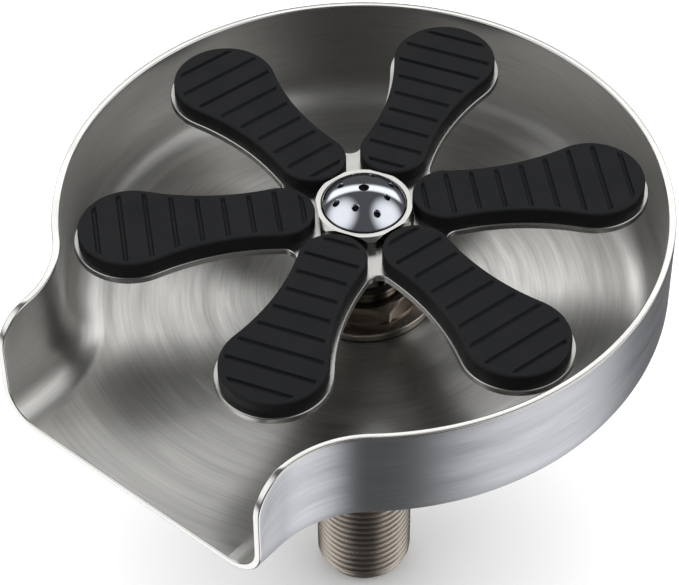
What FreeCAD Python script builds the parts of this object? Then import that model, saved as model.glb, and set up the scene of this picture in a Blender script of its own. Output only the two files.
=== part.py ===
import FreeCAD, Part
import math
import os
import Sketcher

# Deck-mounted faucet glass rinser.
#
# Frame: the origin is the centre of the tray's underside, where it seats on the deck.
# +Z is up along the valve's axis, and the pouring spout points to -Y. Millimetres.
#
# The shank hangs down through the deck. A brass valve body stands on the tray floor, a guide held
# by a hexagon bonnet nut carries the hollow stem, and the stem carries the star with its pads.
# Pressing the star pushes the seal disc off its seat, and the spring lifts it again.

doc = FreeCAD.newDocument("glass_rinser")
sizes = doc.addObject("Spreadsheet::Sheet", "Sizes")

DRIVING_SIZES = [
    # tray
    ("tray_radius", 62.2, "outside of the round wall"),
    ("tray_height", 26.45, "underside to rim"),
    ("sheet", 1.5, "stainless sheet thickness"),
    ("tray_corner", 8.5, "outside radius between wall and floor"),
    ("rim_round", 0.3, "rounding of the ground rim"),
    ("spout_half_width", 33.5, "outside half width of the spout channel"),
    ("spout_length", 6.98, "straight end of the spout, past its blend"),
    ("spout_blend", 22.0, "outside radius where round wall turns into spout wall"),
    ("spout_top_round", 8.0, "rounding of the spout wall's top front corner"),
    ("tray_hole_gap", 0.4, "shank to hole in the tray floor"),
    # valve body
    ("shank_radius", 10.4775, "major radius of the G1/2 thread"),
    ("shank_end", 83.5, "end of the shank below the tray's underside"),
    ("neck_radius", 10.1, "plain neck through the tray, above the thread"),
    ("neck_length", 1.0, "plain neck below the tray's underside"),
    ("shank_chamfer", 1.0, "chamfer at the shank's end"),
    ("bore_radius", 7.5, "water way in the shank"),
    ("flange_radius", 15.35, "flange on the tray floor"),
    ("flange_thick", 1.9, "flange thickness"),
    ("gasket_thick", 0.4, "body gasket, squeezed"),
    ("boss_radius", 10.2, "threaded boss above the flange"),
    ("boss_height", 1.9, "boss above the flange"),
    ("seat_depth", 20.0, "valve seat below the tray's underside"),
    ("seat_thick", 2.0, "web that forms the valve seat"),
    ("seat_radius", 4.2, "opening in the seat"),
    ("chamber_radius", 7.0, "bore above the seat, which the guide fits"),
    # guide and bonnet nut
    ("guide_below", 6.0, "guide's lower end below the tray's underside"),
    ("guide_flange_radius", 9.2, "flange of the guide in the body's counterbore"),
    ("guide_flange_thick", 1.6, "thickness of that flange"),
    ("counterbore_depth", 1.4, "counterbore in the boss for the guide's flange"),
    ("sleeve_radius", 8.3, "guide sleeve through the bonnet nut"),
    ("sleeve_height", 5.4, "guide sleeve above the bonnet nut"),
    ("dust_ring_height", 2.0, "centre of the dust ring above the bonnet nut"),
    ("weep_radius", 0.8, "weep holes in the guide's sleeve"),
    ("weep_height", 3.9, "weep holes above the bonnet nut"),
    ("weep_turn", 65.3, "angle of the first weep hole from +X"),
    ("nut_flats", 22.2, "bonnet nut across flats"),
    ("nut_base_radius", 12.5, "round base of the bonnet nut"),
    ("nut_base_height", 0.5, "height of that base"),
    ("nut_turn", -26.4, "angle of the bonnet nut's first corner from +X"),
    ("nut_lip", 1.4, "lip of the nut over the guide's flange"),
    # stem and valve
    ("stem_radius", 5.0, "hollow stem"),
    ("stem_wall", 2.0, "wall of the hollow stem round its water way"),
    ("rod_radius", 2.4, "rod below the stem, through the seat"),
    ("port_radius", 1.4, "side ports in the stem"),
    ("shoulder_gap", 0.8, "stem's shoulder above the seat web when pressed"),
    ("stem_floor", 2.0, "solid end of the stem above its shoulder"),
    ("stem_ring_low", 1.5, "centre of the lower stem ring at rest"),
    ("stem_ring_high", 7.5, "centre of the upper stem ring at rest"),
    ("stem_ring_section", 0.7, "section radius of the stem rings"),
    ("seal_radius", 6.1, "rubber seal disc"),
    ("seal_thick", 2.5, "seal disc thickness"),
    ("retainer_thick", 3.0, "brass retainer under the seal disc"),
    ("washer_thick", 0.8, "thrust washer"),
    ("washer_radius", 6.5, "thrust washer and spring pilot"),
    ("rod_tail", 2.2, "rod below the thrust washer"),
    ("spring_radius", 5.5, "spring's mean coil radius"),
    ("wire_radius", 0.5, "spring wire"),
    ("spring_length", 22.0, "spring as fitted"),
    ("spring_turns", 7.0, "turns of the spring"),
    ("pilot_height", 1.5, "spring pilot under the thrust washer"),
    ("seat_plate_thick", 1.2, "perforated spring seat"),
    ("circlip_thick", 1.0, "circlip"),
    ("circlip_bite", 0.6, "depth of the circlip's groove"),
    ("circlip_inside", 0.9, "how far the circlip stands into the bore"),
    ("circlip_angle", 300, "degrees of ring in the circlip"),
    ("seat_hole", 1.1, "radius of the holes in the spring seat"),
    ("seat_hole_ring", 3.6, "radius of their circle"),
    ("strainer_length", 6.0, "inlet strainer"),
    ("strainer_wall", 0.5, "strainer's wall"),
    ("strainer_hole", 0.6, "radius of the strainer's holes"),
    ("strainer_pitch", 2.0, "spacing of those holes"),
    ("strainer_inset", 1.5, "strainer above the shank's end"),
    # star
    ("pad_top", 26.6, "top of the pads above the tray's underside"),
    ("pad_thick", 3.1, "pad thickness"),
    ("plate_thick", 1.3, "star plate thickness"),
    ("ledge", 0.9, "plate showing round each pad"),
    ("pad_root_gap", 0.5, "hexagon nut's flats to the pads"),
    ("pad_root_radius", 6.9, "radius of the pad's inner end"),
    ("pad_tip_centre", 46.6, "axis to the centre of the pad's outer end"),
    ("pad_tip_radius", 10.6, "radius of the pad's outer end"),
    ("pad_waist", 6.4, "half width at the waist"),
    ("pad_round", 0.5, "rounding of the pad's upper edge"),
    ("rib_count", 9, "grooves across each pad"),
    ("rib_first", 12.3, "axis to the innermost groove"),
    ("rib_pitch", 5.15, "groove spacing"),
    ("rib_half_width", 0.4, "half of a groove's width"),
    ("rib_depth", 0.5, "groove depth"),
    ("rib_margin", 1.2, "end of a groove to the pad's edge"),
    ("petal_fillet", 2.4, "fillet between neighbouring petals"),
    ("plate_round", 0.3, "rounding of the star plate's upper edge"),
    ("star_turn", 48.35, "angle of the first petal from +X"),
    ("collar_radius", 8.6, "spacer collar under the star plate"),
    ("collar_height", 3.6, "collar height"),
    ("press_travel", 5.0, "travel of the star when pressed"),
    ("hub_flats", 18.8, "hexagon nut on the star, across flats"),
    ("hub_height", 2.8, "hexagon nut above the star plate"),
    ("hub_clip", 0.45, "how far the hexagon nut's corners are turned off"),
    ("hub_chamfer", 0.9, "chamfer height on the hexagon nut"),
    ("hub_chamfer_in", 0.7, "chamfer width on the hexagon nut"),
    ("hub_web", 1.1, "threaded web of the hexagon nut"),
    ("dome_radius", 8.35, "spray dome"),
    ("dome_groove", 0.35, "groove between the dome and the nut's ring"),
    ("dome_spring", 0.3, "start of the dome's curve above the nut's ring"),
    ("dome_thread", 0.7, "threaded foot of the dome"),
    ("dome_top", 30.7, "top of the dome above the tray's underside"),
    ("dome_wall", 1.0, "dome wall"),
    ("dome_washer_thick", 0.5, "washer under the dome"),
    ("dome_centre_hole", 0.95, "radius of the centre spray hole"),
    ("dome_side_hole", 0.6, "radius of the side spray holes"),
    ("dome_ring_outer", 6.1, "radius of the outer ring of spray holes"),
    ("spray_turn", 16.65, "turn of the spray holes from the first petal"),
    ("dome_ring_inner", 4.9, "radius of the inner ring of spray holes"),
    # fits
    ("running_gap", 0.06, "stem in its guide, radial"),
    ("edge_break", 0.3, "chamfer on turned brass edges"),
    ("slip_gap", 0.1, "loose pieces in a bore, radial"),
    ("ring_gap", 0.04, "O-ring to its groove and to the wall it seals on"),
    ("ring_section", 0.9, "section radius of the O-rings"),
]

for row, (alias, value, note) in enumerate(DRIVING_SIZES, start=1):
    sizes.set("A%d" % row, note)
    sizes.set("B%d" % row, repr(value))
    sizes.setAlias("B%d" % row, alias)
doc.recompute()

ALIASES = sorted((row[0] for row in DRIVING_SIZES), key=len, reverse=True)


def bound(text):
    """Turn a formula in plain size names into an expression on the sheet."""
    out, word = [], ""
    for char in text + " ":
        if char.isalnum() or char == "_":
            word += char
            continue
        out.append("Sizes." + word if word in ALIASES else word)
        out.append(char)
        word = ""
    return "".join(out).strip()


def size(text):
    """The present value of such a formula, for choosing edges and counting."""
    return float(sizes.evalExpression(bound(text)))


# Heights that several pieces share, each a formula in the driving sizes.
FLANGE_BOTTOM = "(sheet + gasket_thick)"
FLANGE_TOP = "(sheet + gasket_thick + flange_thick)"
BOSS_TOP = "(sheet + gasket_thick + flange_thick + boss_height)"
GUIDE_SEAT = "(%s - counterbore_depth)" % BOSS_TOP
LIP_BOTTOM = "(%s + guide_flange_thick)" % GUIDE_SEAT
NUT_TOP = "(%s + nut_lip)" % LIP_BOTTOM
SLEEVE_TOP = "(%s + sleeve_height)" % NUT_TOP
SHOULDER = "(seat_thick - seat_depth + press_travel + shoulder_gap)"
STEM_HOLE = "(stem_radius + running_gap)"
STEM_BORE = "(stem_radius - stem_wall)"
SEAT_LOW = "(0 - seat_depth)"
SEAT_HIGH = "(seat_thick - seat_depth)"
SEAL_LOW = "(%s - seal_thick)" % SEAT_LOW
RETAINER_LOW = "(%s - retainer_thick)" % SEAL_LOW
WASHER_LOW = "(%s - washer_thick)" % RETAINER_LOW
SPRING_LOW = "(%s - spring_length)" % WASHER_LOW
PLATE_LOW = "(%s - seat_plate_thick)" % SPRING_LOW
CIRCLIP_LOW = "(%s - circlip_thick)" % PLATE_LOW
SHANK_LOW = "(0 - shank_end)"
BLEND_X = "(spout_half_width + spout_blend)"
BLEND_Y = "(0 - sqrt((tray_radius + spout_blend)^2 - %s^2))" % BLEND_X
SPOUT_FRONT = "(%s - spout_length)" % BLEND_Y
PAD_LOW = "(pad_top - pad_thick)"
STAR_LOW = "(pad_top - pad_thick - plate_thick)"
COLLAR_LOW = "(%s - collar_height)" % STAR_LOW
HUB_TOP = "(%s + hub_height)" % PAD_LOW
HUB_CORNER = "(hub_flats / sqrt(3) - hub_clip)"
PAD_ROOT = "(hub_flats / 2 + pad_root_gap + pad_root_radius)"
WEB_TOP = "(%s + hub_web)" % PAD_LOW
SKIRT_LOW = "(%s + dome_washer_thick)" % WEB_TOP

FINE = 0.001  # two places this near are one place

nodes = []


def node(piece, label):
    """Name a finished piece after its node and keep it for writing."""
    piece.Label = label
    nodes.append(piece)
    return piece


def datum(body, role):
    return [item for item in body.Origin.OriginFeatures if item.Role == role][0]


def sketch_on(body, role, name, lift=None):
    sketch = body.newObject("Sketcher::SketchObject", name)
    sketch.AttachmentSupport = [(datum(body, role), "")]
    sketch.MapMode = "FlatFace"
    if lift is not None:
        sketch.setExpression("AttachmentOffset.Base.z", bound(lift))
    return sketch


def pin_point(sketch, index, end, across, along):
    """Fix one point of a sketch at a place given by two formulas."""
    for kind, formula in (("DistanceX", across), ("DistanceY", along)):
        number = sketch.addConstraint(Sketcher.Constraint(kind, -1, 1, index, end, size(formula)))
        sketch.setExpression("Constraints[%d]" % number, bound(formula))


def polygon(sketch, corners):
    """Closed outline of straight lines through corners given as pairs of formulas."""
    places = [FreeCAD.Vector(size(a), size(b), 0) for a, b in corners]
    count = len(corners)
    for index in range(count):
        sketch.addGeometry(Part.LineSegment(places[index], places[(index + 1) % count]), False)
    for index in range(count):
        sketch.addConstraint(Sketcher.Constraint("Coincident", index, 2, (index + 1) % count, 1))
    for index, (across, along) in enumerate(corners):
        pin_point(sketch, index, 1, across, along)


def circle_at_origin(sketch, radius):
    sketch.addGeometry(Part.Circle(FreeCAD.Vector(), FreeCAD.Vector(0, 0, 1), size(radius)), False)
    sketch.addConstraint(Sketcher.Constraint("Coincident", 0, 3, -1, 1))
    number = sketch.addConstraint(Sketcher.Constraint("Radius", 0, size(radius)))
    sketch.setExpression("Constraints[%d]" % number, bound(radius))


def turned(name, corners):
    """A piece turned about Z from a profile of (radius, height) formulas."""
    body = doc.addObject("PartDesign::Body", name)
    sketch = sketch_on(body, "XZ_Plane", name + "_profile")
    polygon(sketch, corners)
    turn = body.newObject("PartDesign::Revolution", name + "_turn")
    turn.Profile = sketch
    turn.ReferenceAxis = (datum(body, "Z_Axis"), [""])
    turn.Angle = 360.0
    body.Tip = turn
    return body


def ring(name, inner, outer, low, high):
    return turned(name, [(inner, low), (outer, low), (outer, high), (inner, high)])


def cylinder(name, radius, low, height, across="0", along="0"):
    rod = doc.addObject("Part::Cylinder", name)
    rod.setExpression("Radius", bound(radius))
    rod.setExpression("Height", bound(height))
    rod.setExpression("Placement.Base.x", bound(across))
    rod.setExpression("Placement.Base.y", bound(along))
    rod.setExpression("Placement.Base.z", bound(low))
    return rod


def cut(name, base, tools):
    """Base with one or more tools taken away."""
    tool = tools[0]
    if len(tools) > 1:
        tool = doc.addObject("Part::MultiFuse", name + "_tools")
        tool.Shapes = tools
    piece = doc.addObject("Part::Cut", name)
    piece.Base = base
    piece.Tool = tool
    return piece


def common(name, first, second):
    piece = doc.addObject("Part::Common", name)
    piece.Base = first
    piece.Tool = second
    return piece


def fuse(name, shapes):
    piece = doc.addObject("Part::MultiFuse", name)
    piece.Shapes = shapes
    return piece


# ---------------------------------------------------------------- tray


def tray_outline(sketch, inset, front):
    """The tray in plan: a round wall that turns through a concave arc into a straight spout.

    The outline lies inset within the tray's outside, and its front line is at y = front."""
    wall = "(tray_radius - %s)" % inset
    blend = "(spout_blend + %s)" % inset
    half = "(spout_half_width - %s)" % inset
    bx, by = size(BLEND_X), size(BLEND_Y)
    r_wall, r_blend, x_half, y_front = size(wall), size(blend), size(half), size(front)
    side = math.atan2(by, bx)
    up = FreeCAD.Vector(0, 0, 1)

    def arc(x, y, radius, start, end):
        circle = Part.Circle(FreeCAD.Vector(x, y, 0), up, radius)
        sketch.addGeometry(Part.ArcOfCircle(circle, start, end), False)

    arc(0, 0, r_wall, side, math.pi - side)
    arc(-bx, by, r_blend, 0, -side)
    corners = [FreeCAD.Vector(x, y, 0) for x, y in (
        (-x_half, by), (-x_half, y_front), (x_half, y_front), (x_half, by))]
    for start, end in zip(corners, corners[1:]):
        sketch.addGeometry(Part.LineSegment(start, end), False)
    arc(bx, by, r_blend, math.pi + side, math.pi)
    add = sketch.addConstraint
    add(Sketcher.Constraint("Coincident", 0, 3, -1, 1))
    add(Sketcher.Constraint("Tangent", 0, 2, 1, 2))
    add(Sketcher.Constraint("Tangent", 1, 1, 2, 1))
    add(Sketcher.Constraint("Coincident", 2, 2, 3, 1))
    add(Sketcher.Constraint("Coincident", 3, 2, 4, 1))
    add(Sketcher.Constraint("Tangent", 4, 2, 5, 2))
    add(Sketcher.Constraint("Tangent", 5, 1, 0, 1))
    number = add(Sketcher.Constraint("Radius", 0, r_wall))
    sketch.setExpression("Constraints[%d]" % number, bound(wall))
    pin_point(sketch, 1, 3, "(0 - %s)" % BLEND_X, BLEND_Y)
    pin_point(sketch, 5, 3, BLEND_X, BLEND_Y)
    pin_point(sketch, 2, 2, "(0 - %s)" % half, front)
    pin_point(sketch, 3, 2, half, front)


def edges_at(shape, height, test):
    """Names of the edges that lie wholly at one height and pass a test on their middle point."""
    found = []
    for index, edge in enumerate(shape.Edges, start=1):
        box = edge.BoundBox
        if abs(box.ZMin - height) > 1e-5 or abs(box.ZMax - height) > 1e-5:
            continue
        middle = edge.valueAt((edge.FirstParameter + edge.LastParameter) / 2)
        if test(middle):
            found.append("Edge%d" % index)
    return found


def fillet(body, base, name, edges, radius):
    step = body.newObject("PartDesign::Fillet", name)
    step.Base = (base, edges)
    step.setExpression("Radius", bound(radius))
    body.Tip = step
    doc.recompute()
    return step


def drawn_block(name, inset, front, low, height, corner):
    """A block on the tray's outline, rounded round its lower edge but not at the spout's front."""
    body = doc.addObject("PartDesign::Body", name)
    outline = sketch_on(body, "XY_Plane", name + "_outline", low)
    tray_outline(outline, inset, front)
    block = body.newObject("PartDesign::Pad", name + "_block")
    block.Profile = outline
    block.setExpression("Length", bound(height))
    body.Tip = block
    doc.recompute()
    low_edges = edges_at(block.Shape, size(low), lambda point: point.y > size(front) + FINE)
    return body, fillet(body, block, name + "_corner", low_edges, corner)


def make_tray():
    body, shell = drawn_block("tray", "0", SPOUT_FRONT, "0", "tray_height", "tray_corner")
    core, _ = drawn_block("tray_inside", "sheet", "(%s - sheet)" % SPOUT_FRONT, "sheet",
                          "tray_height", "tray_corner - sheet")
    hollow = body.newObject("PartDesign::Boolean", "tray_hollow")
    hollow.setObjects([core])
    hollow.Type = "Cut"
    body.Tip = hollow
    doc.recompute()
    front = size(SPOUT_FRONT)
    rim_height = size("tray_height")
    front_corners = edges_at(hollow.Shape, rim_height, lambda point: point.y < front + FINE)
    lip = fillet(body, hollow, "spout_corner", front_corners, "spout_top_round")
    rim_edges = edges_at(lip.Shape, rim_height, lambda point: abs(point.x) < size("tray_radius") / 9)
    fillet(body, lip, "tray_rim", rim_edges, "rim_round")
    shank_hole = sketch_on(body, "XY_Plane", "tray_hole_outline")
    hole_radius = "(shank_radius + tray_hole_gap)"
    circle_at_origin(shank_hole, hole_radius)
    hole = body.newObject("PartDesign::Pocket", "tray_hole")
    hole.Profile = shank_hole
    hole.Reversed = True
    hole.setExpression("Length", bound("sheet * 2"))
    body.Tip = hole
    return node(body, "tray")


make_tray()


# ---------------------------------------------------------------- valve body, guide and nut


def ring_groove(centre_radius, section, height, outward):
    """Corners of a square groove for an O-ring, read upwards along a wall.

    Outward grooves are cut into an outside wall, the others into a bore."""
    half = "(%s + ring_gap)" % section
    bottom = "(%s %s %s)" % (centre_radius, "-" if outward else "+", half)
    low, high = "(%s - %s)" % (height, half), "(%s + %s)" % (height, half)
    return bottom, low, high


def o_ring(label, centre_radius, section, height):
    torus = doc.addObject("Part::Torus", label)
    torus.setExpression("Radius1", bound(centre_radius))
    torus.setExpression("Radius2", bound(section))
    torus.setExpression("Placement.Base.z", bound(height))
    return node(torus, label)


GUIDE_LOW = "(0 - guide_below)"
GUIDE_OUT = "(chamber_radius - slip_gap)"
BODY_RING_HEIGHT = "(%s - 4 * ring_section)" % GUIDE_SEAT
BODY_RING_RADIUS = "(chamber_radius - ring_gap - ring_section)"
DUST_HEIGHT = "(%s + dust_ring_height)" % NUT_TOP
DUST_RADIUS = "(sleeve_radius - ring_section / 3)"
STEM_RING_RADIUS = "(%s - ring_gap - stem_ring_section)" % STEM_HOLE


def side_drills(name, count, radius, wall, height, first_angle):
    """Level drills evenly round the axis, each from near the axis out through a wall."""
    drills = []
    for index in range(count):
        drill = doc.addObject("Part::Cylinder", "%s_%d" % (name, index + 1))
        drill.setExpression("Radius", bound(radius))
        drill.setExpression("Height", bound("2 * %s" % wall))
        angle = math.radians(first_angle + 360.0 * index / count)
        outward = FreeCAD.Vector(math.cos(angle), math.sin(angle), 0)
        start = outward * (1.1 * size(radius)) + FreeCAD.Vector(0, 0, size(height))
        drill.Placement = FreeCAD.Placement(start, FreeCAD.Rotation(FreeCAD.Vector(0, 0, 1), outward))
        drills.append(drill)
    return drills


def make_valve_body():
    bore, chamfer = "bore_radius", "shank_chamfer"
    groove = "(bore_radius + circlip_bite)"
    recess = "(guide_flange_radius + slip_gap)"
    corners = [
        (bore, SHANK_LOW), ("(shank_radius - %s)" % chamfer, SHANK_LOW),
        ("shank_radius", "(%s + %s)" % (SHANK_LOW, chamfer)), ("shank_radius", "(0 - neck_length)"),
        ("neck_radius", "(0 - neck_length)"), ("neck_radius", FLANGE_BOTTOM),
        ("flange_radius", FLANGE_BOTTOM), ("flange_radius", "(%s - edge_break)" % FLANGE_TOP),
        ("(flange_radius - edge_break)", FLANGE_TOP), ("boss_radius", FLANGE_TOP),
        ("boss_radius", BOSS_TOP), (recess, BOSS_TOP), (recess, GUIDE_SEAT),
        ("chamber_radius", GUIDE_SEAT), ("chamber_radius", SEAT_HIGH),
        ("seat_radius", SEAT_HIGH), ("seat_radius", SEAT_LOW), (bore, SEAT_LOW),
        (bore, PLATE_LOW), (groove, PLATE_LOW), (groove, CIRCLIP_LOW), (bore, CIRCLIP_LOW),
    ]
    node(turned("valve_body", corners), "valve_body")
    gasket = ring("body_gasket", "(shank_radius + slip_gap)", "(flange_radius - edge_break)",
                  "sheet", FLANGE_BOTTOM)
    node(gasket, "body_gasket")


def make_guide():
    seal_wall, seal_low, seal_high = ring_groove(BODY_RING_RADIUS, "ring_section", BODY_RING_HEIGHT, True)
    dust_wall, dust_low, dust_high = ring_groove(DUST_RADIUS, "ring_section", DUST_HEIGHT, True)
    blank = turned("guide_blank", [
        (STEM_HOLE, GUIDE_LOW), (GUIDE_OUT, GUIDE_LOW), (GUIDE_OUT, seal_low),
        (seal_wall, seal_low), (seal_wall, seal_high), (GUIDE_OUT, seal_high),
        (GUIDE_OUT, GUIDE_SEAT), ("guide_flange_radius", GUIDE_SEAT),
        ("guide_flange_radius", LIP_BOTTOM), ("sleeve_radius", LIP_BOTTOM),
        ("sleeve_radius", dust_low), (dust_wall, dust_low), (dust_wall, dust_high),
        ("sleeve_radius", dust_high), ("sleeve_radius", "(%s - edge_break)" % SLEEVE_TOP),
        ("(sleeve_radius - edge_break)", SLEEVE_TOP), (STEM_HOLE, SLEEVE_TOP),
    ])
    weep_height = "(%s + weep_height)" % NUT_TOP
    weeps = side_drills("weep", 4, "weep_radius", "sleeve_radius", weep_height, size("weep_turn"))
    node(cut("stem_guide", blank, weeps), "stem_guide")
    o_ring("body_o_ring", BODY_RING_RADIUS, "ring_section", BODY_RING_HEIGHT)
    o_ring("dust_ring", DUST_RADIUS, "ring_section", DUST_HEIGHT)


def hexagon(name, flats, low, height):
    prism = doc.addObject("Part::Prism", name)
    prism.Polygon = 6
    prism.setExpression("Circumradius", bound("(%s / sqrt(3))" % flats))
    prism.setExpression("Height", bound(height))
    prism.setExpression("Placement.Base.z", bound(low))
    return prism


def make_bonnet_nut():
    low = "(%s + slip_gap)" % FLANGE_TOP
    base_top = "(%s + nut_base_height)" % low
    corner = "(nut_flats / sqrt(3))"
    flat = "(nut_flats / 2)"
    chamfered = "(%s - (%s - %s) / 2)" % (NUT_TOP, corner, flat)
    prism = hexagon("nut_hexagon", "nut_flats", low, "(%s - %s)" % (NUT_TOP, low))
    prism.Placement.Rotation = FreeCAD.Rotation(FreeCAD.Vector(0, 0, 1), size("nut_turn"))
    envelope = turned("nut_envelope", [
        ("0", low), (corner, low), (corner, chamfered), (flat, NUT_TOP), ("0", NUT_TOP)])
    base = cylinder("nut_base", "nut_base_radius", low, "nut_base_height")
    solid = fuse("nut_solid", [common("nut_chamfered", prism, envelope), base])
    inside = turned("nut_inside", [
        ("0", FLANGE_BOTTOM), ("(boss_radius + running_gap)", FLANGE_BOTTOM),
        ("(boss_radius + running_gap)", LIP_BOTTOM), ("(sleeve_radius + slip_gap)", LIP_BOTTOM),
        ("(sleeve_radius + slip_gap)", SLEEVE_TOP), ("0", SLEEVE_TOP)])
    node(cut("bonnet_nut", solid, [inside]), "bonnet_nut")


make_valve_body()
make_guide()
make_bonnet_nut()


# ---------------------------------------------------------------- stem, seal and spring


STEM_TOP = WEB_TOP


def make_stem():
    grooves = []
    for height in ("stem_ring_low", "stem_ring_high"):
        wall, low, high = ring_groove(STEM_RING_RADIUS, "stem_ring_section", height, True)
        grooves += [("stem_radius", low), (wall, low), (wall, high), ("stem_radius", high)]
    tail = "(%s - rod_tail)" % WASHER_LOW
    blank = turned("stem_blank", [
        ("0", tail), ("rod_radius", tail), ("rod_radius", SHOULDER), ("stem_radius", SHOULDER)]
        + grooves + [("stem_radius", STEM_TOP), (STEM_BORE, STEM_TOP),
                     (STEM_BORE, "(%s + stem_floor)" % SHOULDER), ("0", "(%s + stem_floor)" % SHOULDER)])
    height = "(%s + stem_floor + 1.3 * port_radius)" % SHOULDER
    ports = side_drills("port", 4, "port_radius", "stem_radius", height, 0)
    node(cut("stem", blank, ports), "stem")
    o_ring("stem_o_ring_lower", STEM_RING_RADIUS, "stem_ring_section", "stem_ring_low")
    o_ring("stem_o_ring_upper", STEM_RING_RADIUS, "stem_ring_section", "stem_ring_high")


def make_seal_and_spring():
    node(ring("seal_disc", "rod_radius", "seal_radius", SEAL_LOW, SEAT_LOW), "seal_disc")
    node(ring("seal_retainer", "rod_radius", "(seal_radius + edge_break)", RETAINER_LOW, SEAL_LOW),
         "seal_retainer")
    pilot = "(spring_radius - wire_radius - slip_gap)"
    pilot_low = "(%s - pilot_height)" % WASHER_LOW
    hole = "(rod_radius + slip_gap)"
    node(turned("thrust_washer", [
        (hole, pilot_low), (pilot, pilot_low), (pilot, WASHER_LOW), ("washer_radius", WASHER_LOW),
        ("washer_radius", RETAINER_LOW), (hole, RETAINER_LOW)]), "thrust_washer")
    spring = doc.addObject("PartDesign::Body", "return_spring")
    section = sketch_on(spring, "XZ_Plane", "spring_section")
    section.addGeometry(Part.Circle(FreeCAD.Vector(size("spring_radius"), 0, 0), FreeCAD.Vector(0, 0, 1),
                                    size("wire_radius")), False)
    number = section.addConstraint(Sketcher.Constraint("Radius", 0, size("wire_radius")))
    section.setExpression("Constraints[%d]" % number, bound("wire_radius"))
    pin_point(section, 0, 3, "spring_radius", "(%s + wire_radius)" % SPRING_LOW)
    coil = spring.newObject("PartDesign::AdditiveHelix", "spring_coil")
    coil.Profile = section
    coil.ReferenceAxis = (section, ["V_Axis"])
    coil.Mode = "height-turns-angle"
    coil.setExpression("Height", bound("spring_length - 2 * wire_radius"))
    coil.setExpression("Turns", bound("spring_turns"))
    spring.Tip = coil
    doc.recompute()
    node(spring, "return_spring")


def hole_ring(name, count, ring_radius, radius, low, height):
    """Upright drills evenly round a circle; a count of one stands on the axis."""
    drills = []
    for index in range(count):
        angle = 360.0 * index / count
        across = "%s * cos(%.9g deg)" % (ring_radius, angle)
        along = "%s * sin(%.9g deg)" % (ring_radius, angle)
        drills.append(cylinder("%s_%d" % (name, index + 1), radius, low, height, across, along))
    return drills


def make_seat_and_inlet():
    blank = ring("seat_blank", "seat_hole * 1.5", "(bore_radius - slip_gap)", PLATE_LOW, SPRING_LOW)
    drills = hole_ring("seat_drill", 6, "seat_hole_ring", "seat_hole",
                       "(%s - seat_plate_thick)" % PLATE_LOW, "seat_plate_thick * 3")
    node(cut("spring_seat", blank, drills), "spring_seat")
    clip = ring("circlip", "(bore_radius - circlip_inside)", "(bore_radius + circlip_bite - running_gap)",
                CIRCLIP_LOW, PLATE_LOW)
    clip.Tip.setExpression("Angle", bound("circlip_angle"))
    node(clip, "circlip")
    low = "(%s + strainer_inset)" % SHANK_LOW
    high = "(%s + strainer_length)" % low
    inner = "(bore_radius - slip_gap - strainer_wall)"
    cup = turned("strainer_blank", [
        (inner, low), ("(bore_radius - slip_gap)", low), ("(bore_radius - slip_gap)", high),
        ("0", high), ("0", "(%s - strainer_wall)" % high), (inner, "(%s - strainer_wall)" % high)])
    holes = []
    for step in range(3):
        holes += hole_ring("strainer_drill_%d" % step, max(1, 6 * step), "(strainer_pitch * %d)" % step,
                           "strainer_hole", "(%s - strainer_wall * 2)" % high, "strainer_wall * 3")
    node(cut("inlet_strainer", cup, holes), "inlet_strainer")


make_stem()
make_seal_and_spring()
make_seat_and_inlet()


# ---------------------------------------------------------------- star


def side_arc(root, tip, waist, span):
    """Radius and place of the hollow side arc between two end circles span apart.

    The arc touches both end circles from outside and comes within the waist of the middle line:
    sqrt((root - waist)(root + waist + 2R)) + sqrt((tip - waist)(tip + waist + 2R)) = span."""
    def reach(radius):
        near = math.sqrt((root - waist) * (root + waist + 2 * radius))
        return near, near + math.sqrt((tip - waist) * (tip + waist + 2 * radius))
    low, high = 0.0, span * span
    for _ in range(80):
        middle = (low + high) / 2
        if reach(middle)[1] < span:
            low = middle
        else:
            high = middle
    return low, reach(low)[0]


def petal_points(grow):
    """Centres, radii and joining points of a petal's arcs, grown by an amount, along +X."""
    root = size("pad_root_radius") + grow
    tip = size("pad_tip_radius") + grow
    waist = size("pad_waist") + grow
    near, far = size(PAD_ROOT), size("pad_tip_centre")
    radius, offset = side_arc(root, tip, waist, far - near)
    side = FreeCAD.Vector(near + offset, waist + radius, 0)
    root_centre, tip_centre = FreeCAD.Vector(near, 0, 0), FreeCAD.Vector(far, 0, 0)
    root_join = root_centre + (side - root_centre) * (root / (root + radius))
    tip_join = tip_centre + (side - tip_centre) * (tip / (tip + radius))
    return {"root": root, "tip": tip, "waist": waist, "side_radius": radius, "side": side,
            "root_centre": root_centre, "tip_centre": tip_centre,
            "root_join": root_join, "tip_join": tip_join}


def bearing(centre, point):
    return math.atan2(point.y - centre.y, point.x - centre.x)


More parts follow.
